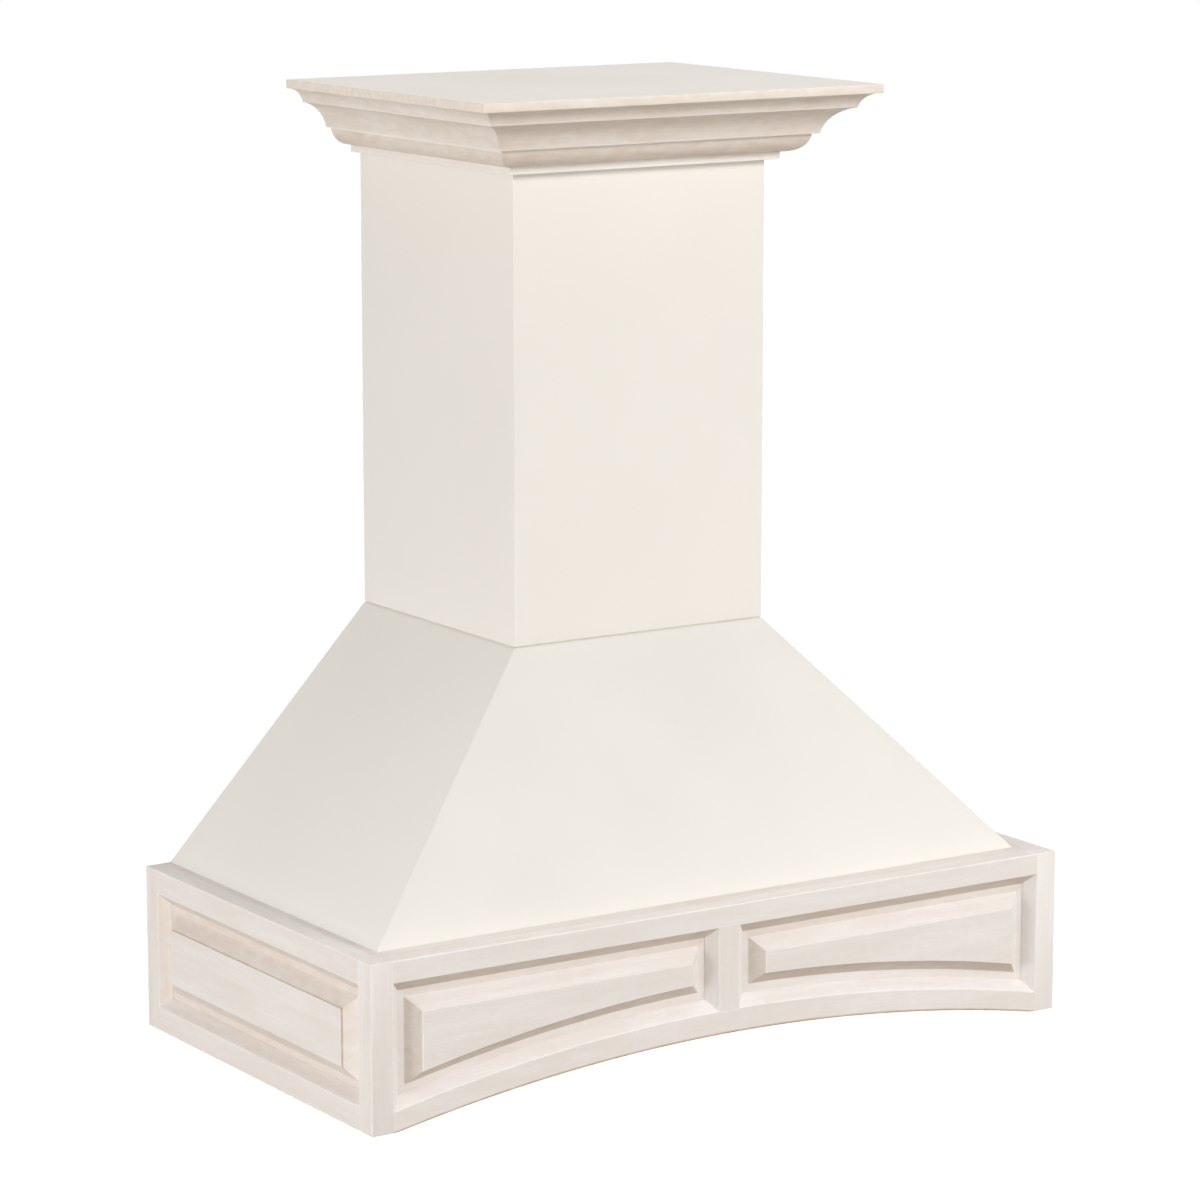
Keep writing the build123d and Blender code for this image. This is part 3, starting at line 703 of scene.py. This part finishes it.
def planed(node):
    """A hidden board: its own surface, merged into one skin, with a narrow bevel along every arris."""
    mesh = frame["nodes"][node].data.copy()
    mesh.materials.clear()
    work = bmesh.new()
    work.from_mesh(mesh)
    bmesh.ops.remove_doubles(work, verts=work.verts, dist=same_corner)
    bmesh.ops.dissolve_limit(work, angle_limit=same_face, verts=work.verts, edges=work.edges)
    work.to_mesh(mesh)
    work.free()
    if "custom_normal" in mesh.attributes:
        mesh.attributes.remove(mesh.attributes["custom_normal"])
    low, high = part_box(node)
    timber_attributes(mesh, "XYZ"[int(np.argmax(np.array(high - low)))])
    mesh.polygons.foreach_set("use_smooth", np.zeros(len(mesh.polygons), bool))
    piece = fitted(mesh, node, raw_pine, "raw_pine")
    bevel = piece.modifiers.new("planed_arrises", "BEVEL")
    bevel.width = planed_arris
    bevel.segments = 2
    bevel.limit_method = "ANGLE"
    bevel.angle_limit = planed_edge


for row in frame["record"]["subparts"]:
    if row["material_slot"] == "raw_pine":
        planed(row["node"])


# ---------------------------------------------------------------------------- ledge
# Three flat boards let in level with the skirt's top edge and mitred at the front, which the canopy
# stands on. Whitewashed like the frames round them, with brown glaze laid on all over as painted
# shade.

ledge_thickness = 18 * mm
ledge_spacing = 4 * mm
# Glaze laid evenly over the ledge boards as painted shade.
ledge_painted_shade = 0.28


def corner_path(ease, stations):
    """Half a run of a mitred length: shares 0 to 1 up to the corner's rounding, then an eighth of a
    circle up to the mitre. Returns, for each station, the share of the straight run and the two
    distances, along the run and back from it, that the rounding takes off the sharp corner."""
    angle = np.linspace(0, math.pi / 4, 5)[1:]
    share = np.concatenate([np.linspace(0, 1, stations), np.ones(len(angle))])
    short = np.concatenate([np.full(stations, ease), ease * (1 - np.sin(angle))])
    behind = np.concatenate([np.zeros(stations), ease * (1 - np.cos(angle))])
    return share[:, None], short[:, None], behind[:, None]


def front_length(section, ease):
    """The front length of a run round three sides. Each point of the section, given as (half width,
    depth, height), runs across the front between the two mitres."""
    half, depth, height = section.T
    share, short, behind = corner_path(ease, stations=20)
    x = (half - short) * share
    y = behind - depth
    rings = np.stack([x, y, height + 0 * x], -1)
    return np.vstack([rings[:0:-1] * (-1, 1, 1), rings])


def side_length(section, ease, sign):
    """A side length of the same run, square at the wall and mitred at the front."""
    half, depth, height = section.T
    share, short, behind = corner_path(ease, stations=16)
    y = -(depth - short) * share
    x = sign * (half - behind)
    return np.stack([x, y, height + 0 * x], -1)


def three_lengths(stem, section, masks, ease, finish, board_light_and_shade=(0.0, 0.0)):
    """Front, left and right lengths from one section and its masks, with their mitred corner rounded by
    the ease. The last two shares say how far the front length and the side lengths are made paler or
    greyer as painted light and shade."""
    runs = {"front": front_length(section, ease), "left": side_length(section, ease, -1)}
    runs["right"] = side_length(section, ease, 1)
    for side, rings in runs.items():
        mesh = closed_surface(f"{stem}_{side}", rings)
        grain, coat = ("X", board_light_and_shade[0]) if side == "front" else ("Y", board_light_and_shade[1])
        timber_attributes(mesh, grain, *masks_over(rings, masks), coat)
        fitted(mesh, f"{stem}_{side}", *finish)


def upright_section(outline, half, depth):
    """A section of (distance outwards, height), set on the plan of half width and depth."""
    return np.column_stack([half + outline[:, 0], depth + outline[:, 0], outline[:, 1]])


ledge_low, ledge_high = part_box("ledge_front")
ledge_half, ledge_depth = skirt_half - frame_thickness, skirt_depth - frame_thickness
ledge_width = ledge_high.y - ledge_low.y
side_ledge_low, side_ledge_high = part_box("ledge_left")
side_ledge_width = side_ledge_high.x - side_ledge_low.x
ledge_corners = [(0, 0), (0, -ledge_thickness), (-ledge_width, -ledge_thickness), (-ledge_width, 0)]
ledge_outline = filled_in(eased(ledge_corners, [small_arris] * 4), ledge_spacing)
ledge_share = -ledge_outline[:, 0] / ledge_width
ledge_section = np.column_stack(
    [
        ledge_half - ledge_share * side_ledge_width,
        ledge_depth - ledge_share * ledge_width,
        skirt_top + ledge_outline[:, 1],
    ]
)
ledge_masks = [np.full(len(ledge_share), ledge_painted_shade), np.zeros(len(ledge_share))]
three_lengths("ledge", ledge_section, ledge_masks, small_arris, washed)


# ---------------------------------------------------------------------------- canopy
# Three sloping panels of smooth board, mitred down the hips and sprayed with satin cream paint. The
# upper edge is chamfered, so that the joint with the chimney shows as a fine V groove.

cream = linear(240, 236, 229)
cream_shade = linear(239, 235, 228)
# A greyer paint laid on some boards as painted shade.
painted_grey_shade = linear(220, 216, 209)
paint_arris = 1.0 * mm
joint_chamfer = 1.5 * mm
joint_glaze = 0.4
joint_wear = 0.2
panel_thickness = 12 * mm
canopy_spacing = 14 * mm


def sprayed_coat():
    """Node group: what a sprayed coat shows from close by. Drift is the slow change in its colour and
    gloss, and Peel is the fine orange peel of its surface."""
    group, entry, result = new_group("sprayed_coat", [("Place", "Vector", None)], ["Drift", "Peel"])
    drift = stretched_noise(group, entry.outputs["Place"], (5, 5, 5), 3.0)
    peel = stretched_noise(group, entry.outputs["Place"], (420, 420, 420), 2.0)
    group.links.new(between(group, drift, 0.3, 0.7), result.inputs["Drift"])
    group.links.new(peel, result.inputs["Peel"])
    return group


sprayed_coat_group = sprayed_coat()


def satin_paint(name, colour, shade):
    """Sprayed satin paint: an even colour that drifts a little, greyed on some boards as painted shade,
    faint orange peel, pale worn arrises that are partly painted highlights, and a trace of glaze in the
    joints."""
    material, tree, surface = new_material(name)
    place = attribute(tree, "log_place")
    coat = add(tree, "Group", {"Place": place}, node_tree=sprayed_coat_group)
    drift = coat.outputs["Drift"]
    glaze_and_shade, worn_and_highlit = rubbed_by_hand(tree, place)
    layers = [
        (attribute(tree, "coat"), 0.8, painted_grey_shade),
        (glaze_and_shade, 0.5, glaze_and_shade_brown),
        (worn_and_highlit, 0.5, pale_wear_and_highlight),
    ]
    mixture = layered(tree, mixed(tree, drift, colour, shade), layers)
    laid_on(tree, surface, mixture, drift, (0.46, 0.54), coat.outputs["Peel"], (0.2, 0.08 * mm), 0.3)
    return material


cream_paint = satin_paint("cream_paint", cream, cream_shade)
canopy_low, canopy_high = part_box("canopy_front")
chimney_low, chimney_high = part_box("chimney_front")
canopy_foot = np.array([canopy_high.x, -canopy_low.y])
chimney_plan = np.array([chimney_high.x, -chimney_low.y])
canopy_rise = canopy_high.z - canopy_low.z
slope_walls = panel_thickness * np.hypot(1, (canopy_foot - chimney_plan) / canopy_rise)
canopy_corners = [(0, canopy_low.z), (0, canopy_high.z - joint_chamfer), (joint_chamfer, canopy_high.z)]
canopy_corners += [(panel_thickness, canopy_high.z), (panel_thickness, canopy_low.z)]
canopy_outline = filled_in(eased(canopy_corners, [small_arris] * 5), canopy_spacing)
canopy_share = (canopy_outline[:, 1:] - canopy_low.z) / canopy_rise
canopy_plans = canopy_foot + (chimney_plan - canopy_foot) * canopy_share
canopy_plans = canopy_plans - slope_walls * canopy_outline[:, :1] / panel_thickness
canopy_section = np.column_stack([canopy_plans, canopy_outline[:, 1]])
canopy_masks = [
    joint_glaze * nearness(canopy_outline, [(joint_chamfer, canopy_high.z)], hollow_reach),
    joint_wear * nearness(canopy_outline, [(0, canopy_high.z - joint_chamfer)], rub_reach),
]
painted = (cream_paint, "cream_paint")
# The canopy's front is greyed as painted shade, its sides a little.
three_lengths("canopy", canopy_section, canopy_masks, paint_arris, painted, board_light_and_shade=(1.0, 0.2))


# ---------------------------------------------------------------------------- chimney
# Three upright panels of the same board and paint, mitred down the front corners and chamfered along
# the bottom to match the canopy.

chimney_spacing = 20 * mm
chimney_corners = [(0, chimney_low.z + joint_chamfer), (0, chimney_high.z)]
chimney_corners += [(-panel_thickness, chimney_high.z), (-panel_thickness, chimney_low.z)]
chimney_corners += [(-joint_chamfer, chimney_low.z)]
chimney_outline = filled_in(eased(chimney_corners, [small_arris] * 5), chimney_spacing)
chimney_masks = [
    joint_glaze * nearness(chimney_outline, [(-joint_chamfer, chimney_low.z)], hollow_reach),
    joint_wear * nearness(chimney_outline, [(0, chimney_low.z + joint_chamfer)], rub_reach),
]
chimney_section = upright_section(chimney_outline, *chimney_plan)
three_lengths("chimney", chimney_section, chimney_masks, paint_arris, painted)


# ---------------------------------------------------------------------------- frieze
# Flat boards round the chimney's head, which the crown moulding is nailed to. Only a narrow band of
# them shows below the moulding.

frieze_low, frieze_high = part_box("frieze_front")
frieze_thickness = 12.5 * mm
frieze_arris = 0.6 * mm
frieze_spacing = 3 * mm
frieze_corners = [(0, frieze_low.z), (frieze_thickness, frieze_low.z), (frieze_thickness, frieze_high.z)]
frieze_corners += [(0, frieze_high.z)]
frieze_outline = filled_in(eased(frieze_corners, [0, frieze_arris, 0, 0]), frieze_spacing)
moulding_low, moulding_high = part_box("crown_front")
# Glaze under the moulding paints the corner's shade; the rubbed lower arris is partly painted highlight.
frieze_masks = [
    nearness(frieze_outline, [(frieze_thickness, moulding_low.z)], rub_reach),
    nearness(frieze_outline, [(frieze_thickness, frieze_low.z)], rub_reach),
]
frieze_section = upright_section(frieze_outline, *chimney_plan)
# The frieze's front is made paler as painted light.
three_lengths("frieze", frieze_section, frieze_masks, frieze_arris, washed, board_light_and_shade=(0.6, 0.0))


# ---------------------------------------------------------------------------- crown moulding
# Sprung moulding run by one cutter: an ovolo, a step, a deep cove, a fillet and a smaller cove. Its
# three lengths are mitred at the corners, and brown glaze is laid in the coves, on the ovolo and in
# the corners as painted shade.

moulding_reach = 92.5 * mm
moulding_seat = 15.7 * mm
moulding_top_land = 30.5 * mm
ovolo_foot = (frieze_thickness + 6.5 * mm, 0.7 * mm)
ovolo_head = (38 * mm, 19.2 * mm)
cove_foot = (44.4 * mm, 21.2 * mm)
cove_head = (73.9 * mm, 50.8 * mm)
fillet_end = (74.6 * mm, 51.2 * mm)
ovolo_bulge = 4.2 * mm
cove_hollow = 6.4 * mm
upper_cove_hollow = 4.1 * mm
fillet_arris = 0.5 * mm
# Glaze on the ovolo and in the coves, as painted shade.
ovolo_painted_shade = 0.54
cove_painted_shade = 0.43


def bowed(start, end, bulge, steps=14):
    """An arc between two points that stands off their chord by the bulge, to the right of it. With the
    half angle found from chord and bulge, a point lies along the chord by the radius times the sine
    and off it by the radius times the cosine, less what the chord cuts off."""
    start, end = np.array(start), np.array(end)
    chord = np.linalg.norm(end - start)
    along = (end - start) / chord
    off = np.array([along[1], -along[0]])
    radius = (chord**2 / 4 + bulge**2) / (2 * abs(bulge))
    angle = np.linspace(-1, 1, steps + 1)[1:-1, None] * math.asin(chord / 2 / radius)
    stand = (radius * np.cos(angle) - radius + abs(bulge)) * np.sign(bulge)
    return (start + end) / 2 + along * radius * np.sin(angle) + off * stand


moulding_height = moulding_high.z - moulding_low.z
tip = (moulding_reach, moulding_height)
step_corner = (ovolo_head[0], cove_foot[1])
ovolo, cove = bowed(ovolo_foot, ovolo_head, ovolo_bulge), bowed(cove_foot, cove_head, -cove_hollow)
upper_cove = bowed(fillet_end, tip, -upper_cove_hollow)
parts = [
    ([(frieze_thickness, 0), ovolo_foot], 0),
    (ovolo, 0),
    ([ovolo_head, step_corner, cove_foot], 2 * fillet_arris),
    (cove, 0),
    ([cove_head], fillet_arris / 3),
    ([fillet_end], fillet_arris / 3),
    (upper_cove, 0),
    ([tip], fillet_arris / 2),
    ([(moulding_reach - moulding_top_land, moulding_height), (frieze_thickness, moulding_seat)], 0),
]
crown_corners = np.vstack([np.array(points) for points, _ in parts])
crown_radii = np.concatenate([np.full(len(points), radius) for points, radius in parts])
crown_outline = filled_in(eased(crown_corners, crown_radii, 3), member_spacing)
on_corners = nearness(crown_outline, [tip, cove_head, ovolo_foot], hollow_reach)
on_ovolo = ovolo_painted_shade * fullness(crown_outline, ovolo, hollow_reach)
on_coves = cove_painted_shade * fullness(crown_outline, [*cove, *upper_cove], hollow_reach)
crown_masks = [
    np.max([on_corners, on_ovolo, on_coves], axis=0),
    nearness(crown_outline, [cove_foot, fillet_end], rub_reach),
]
crown_section = upright_section(crown_outline + (0, moulding_low.z), *chimney_plan)
# The crown's sides are made paler as painted light.
three_lengths("crown", crown_section, crown_masks, fillet_arris, washed, board_light_and_shade=(0.0, 0.9))


# ---------------------------------------------------------------------------- cap board
# One wide board that closes the top and overhangs the crown by a few millimetres, painted, with its
# edges eased and glazed. It is glued and nailed down onto the moulding and the cap cleats.

cap_low, cap_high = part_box("cap_board")
cap_easing = 1.0 * mm
cap_corner_radius = 2.0 * mm
cap_spacing = 12 * mm
cap_closing = [12 * mm, 3 * mm]
cap_glaze = 0.66
cap_plan = [(cap_low.x, cap_high.y), (cap_low.x, cap_low.y)]
cap_plan += [(cap_high.x, cap_low.y), (cap_high.x, cap_high.y)]
cap_loop = filled_in(eased(cap_plan, [0, cap_corner_radius, cap_corner_radius, 0]), cap_spacing)
cap_middle = np.array([(cap_low.x + cap_high.x) / 2, (cap_low.y + cap_high.y) / 2])
cap_half = np.array([cap_high.x, cap_high.y]) - cap_middle
cap_angle = np.linspace(0, math.pi / 2, 5)
cap_insets = np.concatenate([cap_closing, cap_easing * (1 - np.sin(cap_angle))])[:, None, None]
cap_drops = np.concatenate([[0, 0], cap_easing * (1 - np.cos(cap_angle))])[:, None]
cap_plans = cap_middle + (cap_loop - cap_middle) * (1 - cap_insets / cap_half)
over = np.dstack([cap_plans, cap_high.z - cap_drops + 0 * cap_plans[:, :, 0]])
under = np.dstack([cap_plans, cap_low.z + cap_drops + 0 * cap_plans[:, :, 0]])
cap_rings = np.vstack([over, under[::-1]])
cap_mesh = closed_surface("cap_board", cap_rings)
cap_edge = np.repeat(cap_insets.ravel() < cap_easing, len(cap_loop))
timber_attributes(cap_mesh, "X", cap_glaze * np.concatenate([cap_edge, cap_edge[::-1]]))
cap_cream = linear(247, 241, 233)
cap_cream_shade = linear(245, 239, 230)
cap_paint = satin_paint("cap_paint", cap_cream, cap_cream_shade)
fitted(cap_mesh, "cap_board", cap_paint, "cap_paint")


# ---------------------------------------------------------------------------- screws
# Yellow-zinc wood screws, driven up through the ledge and through the collar's cleats. Each has a flat
# head with a square recess, a smooth neck and a rolled thread.


def plated_steel():
    """Yellow-zinc plating: metal with a patchy gloss and colour."""
    material, tree, surface = new_material("plated_screw")
    place = add(tree, "TexCoord").outputs["Object"]
    patches = stretched_noise(tree, place, (400, 400, 400), 3.0)
    share = between(tree, patches, 0.35, 0.65)
    colour = mixed(tree, share, linear(214, 190, 124), linear(198, 186, 152))
    tree.links.new(colour, surface.inputs["Base Color"])
    gloss = add(tree, "MapRange", {"Value": share, "To Min": 0.25, "To Max": 0.42})
    tree.links.new(gloss.outputs["Result"], surface.inputs["Roughness"])
    surface.inputs["Metallic"].default_value = 1.0
    return material


plated_screw = plated_steel()
for node in ("ledge_screws", "collar_screws"):
    screw_slots = frame["nodes"][node].data.materials
    screw_slots.clear()
    screw_slots.append(plated_screw)


# ---------------------------------------------------------------------------- floor, light and camera
# A pale kitchen floor, as far below the cover as it is in a real kitchen, soft lamps in front, on both
# sides and above, and the photograph's point of view.

hanging_height = 1.68
floor_half = 30.0
floor_glow = 0.82
white_from, white_at = 2.5, 7.0
floor_mesh = bpy.data.meshes.new("floor")
floor_turns = [(-1, -1), (1, -1), (1, 1), (-1, 1)]
floor_corners = [(x * floor_half, y * floor_half, -hanging_height) for x, y in floor_turns]
floor_mesh.from_pydata(floor_corners, [], [(0, 1, 2, 3)])
floor = new_object("floor", floor_mesh)


def seen_directly(tree):
    """1 for what the camera sees, straight or in a mirror or glass, and 0 for what only gives light."""
    path = add(tree, "LightPath").outputs
    first = math_node(tree, "MAXIMUM", path["Is Camera Ray"], path["Is Glossy Ray"])
    return math_node(tree, "MAXIMUM", first, path["Is Transmission Ray"])


def pale_floor():
    """A warm pale floor that gives its own light back to the cover. To the camera it is brightened to
    white, fully so from a few metres off, and it keeps the shadow that falls below the cover. It can't
    be seen from underneath."""
    material, tree, _ = new_material("pale_floor")
    tree.nodes.clear()
    matt = add(tree, "BsdfDiffuse", {"Color": (0.41, 0.37, 0.30, 1)})
    place = add(tree, "TexCoord").outputs["Object"]
    flat = add(tree, "VectorMath", {0: place, 1: (1, 1, 0)}, operation="MULTIPLY").outputs[0]
    off = add(tree, "VectorMath", {0: flat}, operation="LENGTH").outputs["Value"]
    far = between(tree, off, white_from, white_at)
    brightness = math_node(tree, "ADD", floor_glow, math_node(tree, "MULTIPLY", far, 1 - floor_glow))
    white = add(tree, "Emission", {"Color": (1, 1, 1, 1)})
    tree.links.new(math_node(tree, "MULTIPLY", brightness, seen_directly(tree)), white.inputs["Strength"])
    lit = add(tree, "AddShader", {0: matt.outputs[0], 1: white.outputs[0]})
    clear = add(tree, "BsdfTransparent")
    underneath = add(tree, "NewGeometry").outputs["Backfacing"]
    both = add(tree, "MixShader", {0: underneath, 1: lit.outputs[0], 2: clear.outputs[0]})
    add(tree, "OutputMaterial", {"Surface": both.outputs[0]})
    return material


floor_mesh.materials.append(pale_floor())

world = bpy.data.worlds.new("studio")
bpy.context.scene.world = world
world.use_nodes = True
world_tree = world.node_tree
world_tree.nodes.clear()
room_light = add(world_tree, "Background", {"Color": (1.0, 0.97, 0.92, 1), "Strength": 0.125})
backdrop = add(world_tree, "Background", {"Color": (1, 1, 1, 1), "Strength": 1.0})
shades = {0: seen_directly(world_tree), 1: room_light.outputs[0], 2: backdrop.outputs[0]}
sky = add(world_tree, "MixShader", shades)
add(world_tree, "OutputWorld", {"Surface": sky.outputs[0]})


def softbox(name, place, aim, width, power):
    """A square lamp of the width that looks from its place at a point."""
    lamp = bpy.data.lights.new(name, "AREA")
    lamp.shape = "SQUARE"
    lamp.size = width
    lamp.energy = power
    holder = new_object(name, lamp)
    holder.location = place
    holder.rotation_mode = "QUATERNION"
    holder.rotation_quaternion = (Vector(aim) - Vector(place)).to_track_quat("-Z", "Y")


cover_middle = (0, -0.25, 0.5)
softbox("key_light", (3.5, -4.8, 3.4), cover_middle, 1.6, 184)
softbox("low_light", (4.4, -4.6, 1.4), cover_middle, 3.0, 105)
softbox("left_light", (-5.5, -1.0, 0.6), cover_middle, 3.0, 163)
softbox("fill_light", (-4.0, -4.5, 2.4), cover_middle, 3.0, 100)
softbox("top_light", (0, -0.6, 6.2), cover_middle, 3.0, 100)

# The camera was fitted to the photograph: its place in metres, its turn and dip in radians.
camera_place = (-2.7476, -4.4789, 1.4448)
camera_turn = 0.575864
camera_dip = 0.187324
camera_lens = 135.47
camera_data = bpy.data.cameras.new("camera")
camera_data.lens = camera_lens
camera_data.sensor_width = 36.0
camera = new_object("camera", camera_data)
camera.location = camera_place
camera.rotation_euler = (math.pi / 2 - camera_dip, 0, -camera_turn)
bpy.context.scene.camera = camera
bpy.context.scene.view_settings.view_transform = "Standard"
